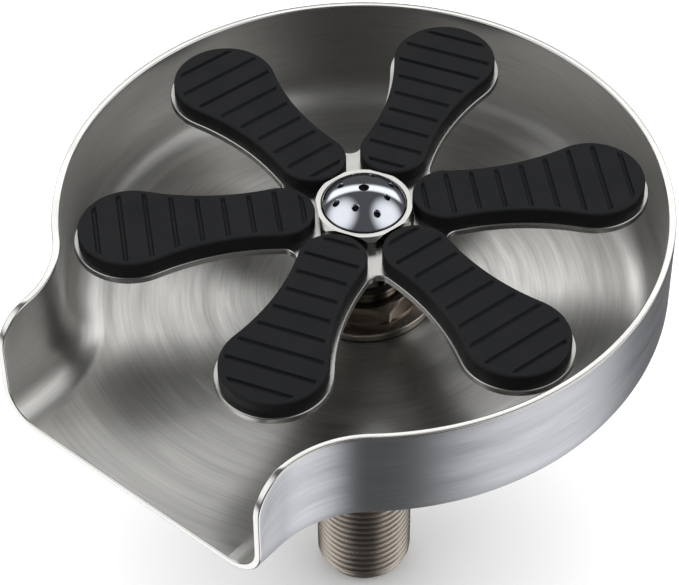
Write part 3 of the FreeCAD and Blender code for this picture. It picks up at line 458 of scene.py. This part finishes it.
def make_tray(s, finishes):
    path, out, edge, proud = tray_path(s)
    run = np.concatenate([[0], np.cumsum(np.hypot(*np.diff(path, axis=0).T))])
    inner = wall_side(s, path, out, edge, s.corner - s.sheet)
    outer = wall_side(s, path, out, edge, s.corner)

    def wall_uv(side):
        down = np.concatenate([[0], np.cumsum(np.linalg.norm(np.diff(side[:, 0], axis=0), axis=-1))])
        return np.stack([run + 0 * down[:, None], down[:, None] + 0 * run], -1)

    lip = np.linspace(1, -1, 60)[1:-1, None]

    def border(side):
        """The closed edge of one side of the sheet: rim, right front, lip and left front."""
        x, y, z = side[-1, -1]
        across = np.concatenate([x * lip, y + 0 * lip, z + 0 * lip], -1)
        return np.concatenate([side[0], side[1:, -1], across, side[:0:-1, 0], side[:1, 0]])

    rows = inner.shape[0] - 1
    forward = np.tile([0.0, -1.0, 0.0], (2 * rows + len(lip) + 1, 1))
    direction = np.concatenate([proud, forward])
    first, last = border(inner), border(outer)
    through = last - first
    through /= np.linalg.norm(through, axis=-1, keepdims=True)
    angle = np.linspace(0, math.pi / 2, 6)[:, None, None]
    near = first + s.rim_round * (direction * np.sin(angle) + through * (1 - np.cos(angle)))
    far = last + s.rim_round * (direction * np.sin(angle) - through * (1 - np.cos(angle)))
    rim = np.concatenate([near, far[::-1]])
    along = np.concatenate([[0], np.cumsum(np.linalg.norm(np.diff(first, axis=0), axis=-1))])
    inward = np.linspace(0, s.sheet, len(rim))[:, None]
    rim_uv = np.stack([along + 0 * inward, inward + 0 * along], -1)

    def disc(side):
        """The flat floor: straight lines from its border to the hole."""
        x, y, z = side[-1, -1]
        across = np.concatenate([x * lip, y + 0 * lip, z + 0 * lip], -1)
        ring = np.concatenate([side[-1], across, side[-1, :1]])
        angle = np.unwrap(np.arctan2(ring[:, 1], ring[:, 0]))
        hole = np.stack([s.hole_radius * np.cos(angle), s.hole_radius * np.sin(angle), ring[:, 2]], -1)
        part = np.linspace(0, 1, 30)[:, None, None]
        points = ring + (hole - ring) * part
        radius = np.hypot(points[..., 0], points[..., 1])
        return points, np.stack([angle * 0.03 + 0 * radius, radius], -1)

    floor, floor_uv = disc(inner)
    under, under_uv = disc(outer)
    hole = np.stack([floor[-1], under[-1]])
    steel = tuple(finishes.steel)
    materials = [
        turned_steel("turned_stainless_floor", steel),
        brushed_steel("brushed_stainless_inside", steel),
        brushed_steel("brushed_stainless_outside", tuple(finishes.wall), roughness=0.42, anisotropy=0.85),
        satin_steel("polished_stainless_edge", dim(steel, 1.05), roughness=0.16),
    ]
    piece = build("tray_shell", [
        surface(floor, floor_uv, 0), surface(inner, wall_uv(inner), 1), surface(outer, wall_uv(outer), 2),
        surface(under, under_uv, 2), surface(rim, rim_uv, 3), surface(hole, None, 3),
    ], materials, "valve")
    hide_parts("tray")


# ---------------------------------------------------------------- valve


def make_valve_body(s, finishes):
    """The body turned from one profile, with a pipe thread whose radius follows height and angle.

    The thread's phase is z / pitch - angle / turn, and its radius goes between root and crest along
    straight flanks with rounded ends."""
    low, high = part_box("valve_body")
    bottom, top = low[2], high[2]
    columns = 96
    angle = np.linspace(0, TURN, columns + 1)
    start, end = bottom + 1.1 * MM, -2.0 * MM
    height = np.linspace(start, end, int((end - start) / s.thread_pitch * 14))[:, None]
    phase = (height / s.thread_pitch - angle / TURN) % 1.0
    ramp = np.clip((np.abs(phase - 0.5) - 0.25) * 2.5 + 0.5, 0, 1)
    tooth = ramp * ramp * (3 - 2 * ramp)
    fade = np.clip((height - start) / (1.2 * MM), 0, 1) * np.clip((end - height) / (2.0 * MM), 0, 1)
    root = s.thread_radius - s.thread_depth
    radius = root + s.thread_depth * tooth * fade
    thread = np.stack([radius * np.cos(angle), radius * np.sin(angle), height + 0 * angle], -1)
    foot, _ = lathe([(s.bore_radius, bottom), (root - 0.4 * MM, bottom), (root, start)], columns)
    flange = s.flange_radius
    upper, _ = lathe([
        (root, end), (10.1 * MM, -1.2 * MM), (10.1 * MM, 1.9 * MM), (flange - 0.3 * MM, 1.9 * MM),
        (flange, 2.2 * MM), (flange, 3.4 * MM), (flange - 0.12 * MM, 3.68 * MM),
        (flange - 0.4 * MM, 3.8 * MM), (10.2 * MM, 3.8 * MM), (10.2 * MM, top),
        (9.3 * MM, top), (9.3 * MM, 4.3 * MM), (7.0 * MM, 4.3 * MM),
        (7.0 * MM, -18 * MM), (4.2 * MM, -18 * MM), (4.2 * MM, -20 * MM), (s.bore_radius, -20 * MM),
        (s.bore_radius, bottom)], columns)
    plating = plated_metal("nickel_plated_brass_thread", tuple(finishes.nickel), 0.24)
    piece = build("valve_body_threaded", [surface(foot), surface(thread), surface(upper)],
                  [plating], "valve", sharp=50)
    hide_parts("valve_body")


# ---------------------------------------------------------------- pads


def pad_half_width(s, x):
    """Half the pad's width at a distance from the axis: two round ends and a hollow arc between."""
    root, tip, waist = s.pad_root, s.pad_tip, s.pad_waist
    span = s.pad_tip_centre - s.pad_root_centre
    a, b = root - waist, tip - waist
    # the hollow arc touches both ends from outside and comes within the waist of the middle line
    discriminant = a * a * span ** 2 + (b - a) * a * (span ** 2 + (root - tip) * b)
    reach = (-a * span + math.sqrt(discriminant)) / (b - a)
    hollow = (reach ** 2 / a - (root + waist)) / 2
    side_x, side_y = s.pad_root_centre + reach, waist + hollow
    first = s.pad_root_centre + (side_x - s.pad_root_centre) * root / (root + hollow)
    last = s.pad_tip_centre + (side_x - s.pad_tip_centre) * tip / (tip + hollow)
    return np.where(
        x < first, np.sqrt(np.clip(root ** 2 - (x - s.pad_root_centre) ** 2, 0, None)),
        np.where(x > last, np.sqrt(np.clip(tip ** 2 - (x - s.pad_tip_centre) ** 2, 0, None)),
                 side_y - np.sqrt(np.clip(hollow ** 2 - (x - side_x) ** 2, 0, None))))


def make_pads(s, finishes):
    """Six pads: the top is a height over (distance, share of width), with grooves pressed into it.

    The height falls round a quarter circle at the edge and by a groove's depth where the distance to a
    groove's middle line is under half its width."""
    low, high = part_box("pad_1")
    base, top = low[2], high[2]
    start, end = s.pad_root_centre - s.pad_root, s.pad_tip_centre + s.pad_tip
    turn = np.linspace(0, math.pi / 2, 26)
    root_end = start + s.pad_root * (1 - np.cos(turn))
    tip_end = end - s.pad_tip * (1 - np.cos(turn))
    middles = s.groove_first + s.groove_pitch * np.arange(GROOVES)
    beside = np.linspace(-1, 1, 13) * (s.groove_width / 2 + 0.25 * MM)
    x = np.unique(np.round(np.concatenate([root_end, tip_end, (middles[:, None] + beside).ravel(),
                                           np.arange(start, end, 1.2 * MM)]), 7))
    x = x[(x >= start) & (x <= end)]
    x[0], x[-1] = start, end
    half = pad_half_width(s, x)
    half[0] = half[-1] = 0.0
    share = np.sin(np.linspace(-1, 1, 61) * math.pi / 2)
    across = half[:, None] * share
    fine = np.linspace(start, end, 1500)
    fine = np.concatenate([start + (fine[:400] - start) ** 2 / (fine[399] - start), fine[400:-400],
                           end - (end - fine[-400:]) ** 2 / (end - fine[-400])])
    width = pad_half_width(s, fine)
    line = np.stack([fine, width], -1)
    grid = np.stack([x[:, None] + 0 * across, np.abs(across)], -1)
    inside = np.sqrt(((grid[:, :, None] - line[None, None]) ** 2).sum(-1).min(-1))
    shortfall = np.clip(1 - inside / s.pad_round, 0, 1)
    height = top - s.pad_round * (1 - np.sqrt(1 - shortfall ** 2))
    reach = np.abs(x[:, None] - middles).min(-1)[:, None]
    dip = np.clip((s.groove_width / 2 + 0.12 * MM - reach) / (0.24 * MM), 0, 1)
    stop = np.clip((inside - s.groove_margin + 0.2 * MM) / (0.4 * MM), 0, 1)
    dip, stop = dip * dip * (3 - 2 * dip), stop * stop * (3 - 2 * stop)
    height = height - s.groove_depth * dip * stop
    height[0] = height[-1] = height[:, 0] = height[:, -1] = top - s.pad_round
    upper = np.stack([x[:, None] + 0 * across, across, height], -1)
    lower = np.stack([x[:, None] + 0 * across, across, 0 * across + base], -1)
    edges = [upper[:, 0], upper[:, -1]]
    walls = []
    for edge in edges:
        foot = edge.copy()
        foot[:, 2] = base
        walls.append(np.stack([edge + (foot - edge) * part for part in np.linspace(0, 1, 5)]))
    rubber = moulded_rubber("moulded_nitrile_rubber", tuple(finishes.rubber))
    for number in range(6):
        angle = math.radians(STAR_TURN + 60 * number)
        turn = np.array([[math.cos(angle), -math.sin(angle), 0],
                         [math.sin(angle), math.cos(angle), 0], [0, 0, 1]])
        turned = [surface(part @ turn.T) for part in (upper, lower, *walls)]
        piece = build("pad_ribbed_%d" % (number + 1), turned,
                      [rubber], "star", sharp=55)
        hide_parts("pad_%d" % (number + 1))


# ---------------------------------------------------------------- dome


def make_dome(s, finishes):
    """A shallow spherical cap on a short skirt, with spray holes sunk into it.

    Round each hole the surface goes down by a smooth step as the plan distance to its axis falls.
    Faces sunk deep into a hole are drawn near-black, as painted shade for the hole's dark inside."""
    foot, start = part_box("spray_dome")[0][2], DOME_SKIRT_TOP
    rise = s.dome_top - start
    ball = (s.dome_radius ** 2 + rise ** 2) / (2 * rise)
    middle = s.dome_top - ball
    widest = math.asin(s.dome_radius / ball)
    slope = widest * np.linspace(0, 1, 190)[:, None]
    angle = np.linspace(0, TURN, 321)
    radius, height = ball * np.sin(slope) + 0 * angle, middle + ball * np.cos(slope) + 0 * angle
    points = np.stack([radius * np.cos(angle), radius * np.sin(angle), height], -1)
    holes = [(0.0, 0.0, 0.95)]
    for index in range(8):
        turn = math.radians(STAR_TURN + SPRAY_TURN + 45 * index)
        ring = 4.9 if index % 2 else 6.1
        holes.append((ring * math.cos(turn), ring * math.sin(turn), 0.6))
    sunk = np.zeros_like(radius)
    for x, y, size in holes:
        apart = np.hypot(points[..., 0] - x * MM, points[..., 1] - y * MM)
        step = np.clip((size * MM + 0.10 * MM - apart) / (0.22 * MM), 0, 1)
        sunk = np.maximum(sunk, step * step * (3 - 2 * step))
    depth = 0.9 * MM * sunk
    points[..., 2] -= depth
    # mask of the faces well inside a spray hole, which get the painted shade below
    inside = (sunk[:-1, :-1] + sunk[1:, :-1] + sunk[1:, 1:] + sunk[:-1, 1:]) / 4 > 0.45
    skirt, _ = lathe([(s.dome_radius, start), (s.dome_radius, foot), (s.dome_radius - 1.0 * MM, foot),
                      (s.dome_radius - 1.0 * MM, start - 0.2 * MM), (0, start - 0.2 * MM)], 320)
    # near-black matt material made with the rubber shader: painted shade inside the spray holes, not a rubber
    # part
    bore = moulded_rubber("painted_shade_in_spray_holes", linear("#0A0A0B"), 0.8)
    piece = build("spray_dome_polished", [surface(points, None, inside.astype(int)), surface(skirt)],
                  [chrome("chrome_plated_brass", tuple(finishes.chrome)), bore], "star", sharp=40)
    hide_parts("spray_dome")


# ---------------------------------------------------------------- spring


def make_spring(s, finishes):
    """A round wire wound into a helix: the wire's middle is at (r cos a, r sin a, z0 + rise a / sweep).

    The wire's own circle stands in the plane through the axis. Each end is closed by a flat disc."""
    low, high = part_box("return_spring")
    radius, sweep = s.spring_radius, TURN * SPRING_TURNS
    angle = np.linspace(0, sweep, int(SPRING_TURNS * 64) + 1)[:, None]
    around = np.linspace(0, TURN, 25)
    height = low[2] + s.wire_radius + (high[2] - low[2] - 2 * s.wire_radius) * angle / sweep

    def wound(wire):
        reach = radius + wire * np.cos(around)
        return np.stack([reach * np.cos(angle), reach * np.sin(angle), height + wire * np.sin(around)], -1)

    tube, middle = wound(s.wire_radius), wound(0.0)
    ends = [surface(np.stack([tube[end], middle[end]])) for end in (0, -1)]
    wire = plated_metal("drawn_stainless_wire", dim(tuple(finishes.steel), 0.95), 0.25)
    piece = build("return_spring_wound", [surface(tube), *ends], [wire], "valve", sharp=50)
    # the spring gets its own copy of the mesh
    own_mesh(piece)
    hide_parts("return_spring")


# ---------------------------------------------------------------- operators


class RINSER_OT_tray(bpy.types.Operator):
    """Draw the tray's sheet with its rim, floor and spout"""

    bl_idname = "rinser.tray"
    bl_label = "Tray"

    def execute(self, context):
        make_tray(context.scene.rinser_sizes, context.scene.rinser_finishes)
        return {"FINISHED"}


class RINSER_OT_valve_body(bpy.types.Operator):
    """Turn the valve body and cut its pipe thread"""

    bl_idname = "rinser.valve_body"
    bl_label = "Valve body"

    def execute(self, context):
        make_valve_body(context.scene.rinser_sizes, context.scene.rinser_finishes)
        return {"FINISHED"}


class RINSER_OT_pads(bpy.types.Operator):
    """Mould the six ribbed pads"""

    bl_idname = "rinser.pads"
    bl_label = "Pads"

    def execute(self, context):
        make_pads(context.scene.rinser_sizes, context.scene.rinser_finishes)
        return {"FINISHED"}


class RINSER_OT_dome(bpy.types.Operator):
    """Draw the spray dome and its holes"""

    bl_idname = "rinser.dome"
    bl_label = "Spray dome"

    def execute(self, context):
        make_dome(context.scene.rinser_sizes, context.scene.rinser_finishes)
        return {"FINISHED"}


class RINSER_OT_spring(bpy.types.Operator):
    """Make the return spring"""

    bl_idname = "rinser.spring"
    bl_label = "Return spring"

    def execute(self, context):
        make_spring(context.scene.rinser_sizes, context.scene.rinser_finishes)
        return {"FINISHED"}


class RINSER_OT_finishes(bpy.types.Operator):
    """Give the pieces carried over from the frame their finishes"""

    bl_idname = "rinser.finishes"
    bl_label = "Finishes"

    def execute(self, context):
        colours = context.scene.rinser_finishes
        steel, nickel = tuple(colours.steel), tuple(colours.nickel)
        dress(["star_plate"], satin_steel("satin_stainless_plate", dim(steel, 0.68), 0.24))
        dress(["hex_hub"], plated_metal("polished_stainless_nut", dim(steel, 0.8), 0.18))
        dress(["bonnet_nut", "stem_guide", "lock_collar"], plated_metal("nickel_plated_brass", nickel, 0.2))
        dress(["stem"], plated_metal("ground_stainless_stem", steel, 0.2))
        dress(["seal_retainer"], plated_metal("turned_brass", linear("#C9A45C"), 0.3))
        dress(["circlip"], plated_metal("drawn_stainless_wire", dim(steel, 0.95), 0.25))
        dress(["thrust_washer", "spring_seat", "inlet_strainer"],
              moulded_plastic("moulded_acetal", linear("#E6E4DC")))
        dress(["body_gasket", "body_o_ring", "dust_ring", "stem_o_ring_lower", "stem_o_ring_upper",
               "seal_disc", "dome_washer"], moulded_rubber("nitrile_rubber_seal", linear("#141415"), 0.45))
        return {"FINISHED"}


def look_at(thing, target):
    """Point a light or camera at a place."""
    thing.rotation_euler = (Vector(target) - thing.location).to_track_quat("-Z", "Y").to_euler()


def softbox(name, place, target, width, height, power, rgb=(1, 1, 1)):
    lamp = bpy.data.lights.new(name, "AREA")
    lamp.shape, lamp.size, lamp.size_y = "RECTANGLE", width, height
    lamp.energy, lamp.color = power, rgb
    thing = bpy.data.objects.new(name, lamp)
    bpy.context.scene.collection.objects.link(thing)
    thing.location = place
    look_at(thing, target)
    return thing


def light_tent():
    """A dim room with soft lights to the left and right, two low ones beside the tray, and an arch.

    Each light is a smooth step of the angle between a direction and the light's middle. The arch is a
    band of directions that all make one angle with a level line, like a strip light bent over the tray."""
    world = bpy.data.worlds.new("studio")
    world.use_nodes = True
    tree = world.node_tree
    background = tree.nodes["Background"]
    where = add(tree, "ShaderNodeTexCoord").outputs["Generated"]
    total = None
    for azimuth, elevation, inner, outer, strength in TENT_LIGHTS:
        a, e = math.radians(azimuth), math.radians(elevation)
        aim = (math.cos(a) * math.cos(e), math.sin(a) * math.cos(e), math.sin(e))
        near = add(tree, "ShaderNodeVectorMath", {0: where}, operation="DOT_PRODUCT")
        near.inputs[1].default_value = aim
        lobe = add(tree, "ShaderNodeMapRange", {"Value": near.outputs["Value"]},
                   interpolation_type="SMOOTHSTEP", From_Min=math.cos(math.radians(outer)),
                   From_Max=math.cos(math.radians(inner)), To_Min=0.0, To_Max=strength).outputs["Result"]
        if total is not None:
            lobe = add(tree, "ShaderNodeMath", {0: lobe, 1: total}, operation="ADD").outputs["Value"]
        total = lobe
    azimuth, middle, inner, outer, strength = ARCH_LIGHT
    along = add(tree, "ShaderNodeVectorMath", {0: where}, operation="DOT_PRODUCT")
    along.inputs[1].default_value = (math.cos(math.radians(azimuth)), math.sin(math.radians(azimuth)), 0)
    apart = add(tree, "ShaderNodeMath", {0: along.outputs["Value"]}, operation="SUBTRACT")
    apart.inputs[1].default_value = middle
    apart = add(tree, "ShaderNodeMath", {0: apart.outputs["Value"]}, operation="ABSOLUTE")
    arch = add(tree, "ShaderNodeMapRange", {"Value": apart.outputs["Value"]}, interpolation_type="SMOOTHSTEP",
               From_Min=inner, From_Max=outer, To_Min=strength, To_Max=0.0).outputs["Result"]
    height = add(tree, "ShaderNodeSeparateXYZ", {"Vector": where}).outputs["Z"]
    above = add(tree, "ShaderNodeMapRange", {"Value": height}, interpolation_type="SMOOTHSTEP",
                From_Min=0.0, From_Max=0.2, To_Min=0.0, To_Max=1.0).outputs["Result"]
    arch = add(tree, "ShaderNodeMath", {0: arch, 1: above}, operation="MULTIPLY").outputs["Value"]
    total = add(tree, "ShaderNodeMath", {0: total, 1: arch}, operation="ADD").outputs["Value"]
    room = add(tree, "ShaderNodeMath", {0: total}, operation="ADD")
    room.inputs[1].default_value = 0.12
    tree.links.new(room.outputs["Value"], background.inputs["Strength"])
    background.inputs["Color"].default_value = (1.0, 1.0, 1.0, 1)
    return world


# azimuth of the level line, cosine of the angle to it, inner and outer half width, and brightness
ARCH_LIGHT = (129.75, 0.70, 0.05, 0.165, 1.65)

# azimuth from +X, elevation, inner and outer angle in degrees, and brightness
TENT_LIGHTS = (
    (-128, 38, 10, 44, 1.35),
    (28, 36, 10, 44, 1.35),
    (14, -42, 12, 34, 1.6),
    (-126, -42, 14, 40, 1.4),
)


class RINSER_OT_stage(bpy.types.Operator):
    """Set up the floor, the soft light and the camera"""

    bl_idname = "rinser.stage"
    bl_label = "Studio stage"

    def execute(self, context):
        scene = context.scene
        low = CAD_BOX[0][2]
        mesh = bpy.data.meshes.new("studio_floor")
        mesh.from_pydata([(x, y, low) for x, y in ((-3, -3), (3, -3), (3, 3), (-3, 3))], [], [(0, 1, 2, 3)])
        floor = bpy.data.objects.new("studio_floor", mesh)
        scene.collection.objects.link(floor)
        made, _, shader = material("matt_white_paper")
        shader.inputs["Base Color"].default_value = (*scene.rinser_finishes.floor, 1)
        shader.inputs["Roughness"].default_value = 0.9
        mesh.materials.append(made)
        floor.visible_glossy = False

        scene.world = light_tent()
        fill = softbox("overhead_fill", (0, 0, 1.6), (0, 0, 0), 2.4, 2.4, 46.0)
        fill.visible_glossy = False

        lens = bpy.data.cameras.new("camera")
        lens.lens, lens.sensor_width = 142.1, 36.0
        lens.shift_x, lens.shift_y = -0.0359, -0.0186
        lens.clip_start, lens.clip_end = 0.01, 20.0
        camera = bpy.data.objects.new("camera", lens)
        scene.collection.objects.link(camera)
        camera.location = (0.2454, -0.2951, 0.3990)
        camera.rotation_mode = "QUATERNION"
        aim = (Vector((0, 0, 0.0043)) - camera.location).to_track_quat("-Z", "Y")
        camera.rotation_quaternion = aim
        scene.camera = camera
        scene.view_settings.view_transform = "Standard"
        return {"FINISHED"}


class RINSER_PT_panel(bpy.types.Panel):
    """The rinser's steps in the sidebar"""

    bl_idname = "RINSER_PT_panel"
    bl_label = "Glass rinser"
    bl_space_type = "VIEW_3D"
    bl_region_type = "UI"
    bl_category = "Rinser"

    def draw(self, context):
        for operator in OPERATORS:
            self.layout.operator(operator.bl_idname)
        for group in (context.scene.rinser_sizes, context.scene.rinser_finishes):
            for name in group.bl_rna.properties.keys():
                if name not in ("rna_type", "name"):
                    self.layout.prop(group, name)


OPERATORS = (RINSER_OT_tray, RINSER_OT_valve_body, RINSER_OT_pads, RINSER_OT_dome,
             RINSER_OT_spring, RINSER_OT_finishes, RINSER_OT_stage)
CLASSES = (RinserSizes, RinserFinishes, *OPERATORS, RINSER_PT_panel)


def register():
    for item in CLASSES:
        bpy.utils.register_class(item)
    bpy.types.Scene.rinser_sizes = bpy.props.PointerProperty(type=RinserSizes)
    bpy.types.Scene.rinser_finishes = bpy.props.PointerProperty(type=RinserFinishes)


def unregister():
    del bpy.types.Scene.rinser_finishes
    del bpy.types.Scene.rinser_sizes
    for item in reversed(CLASSES):
        bpy.utils.unregister_class(item)


def main():
    register()
    for operator in OPERATORS:
        group, name = operator.bl_idname.split(".")
        getattr(getattr(bpy.ops, group), name)()


if __name__ == "__main__":
    main()
